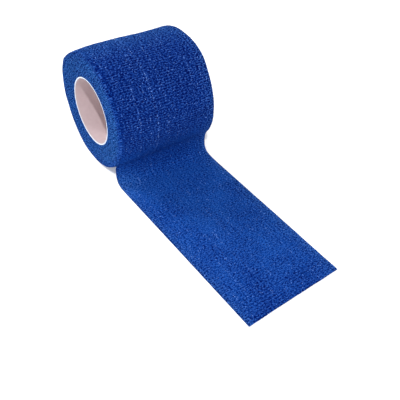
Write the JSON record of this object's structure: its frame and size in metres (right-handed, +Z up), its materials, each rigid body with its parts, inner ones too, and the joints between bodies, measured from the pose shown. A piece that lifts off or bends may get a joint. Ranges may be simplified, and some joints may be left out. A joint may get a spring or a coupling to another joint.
{
  "type": "cohesive bandage roll",
  "caption": "Crepe-textured self-adhering bandage wound on a hollow paperboard core, lying on its side with the loose end of its strip flat on the floor.",
  "frame": {"origin": "on the floor, in the middle of the small flat spot that the roll rests on, under its axis and halfway along its width", "axes": "+X along the roll's axis, from its near face to its far face; -Y the way the loose end runs; +Z up"},
  "size_m": [0.0559, 0.1437, 0.0556],
  "materials": {
    "bandage": "matte crepe non-woven",
    "core": "uncoated paperboard with a paler cut end"
  },
  "bodies": {
    "root": {"bandage": "bandage", "core": "core"}
  },
  "joints": []
}
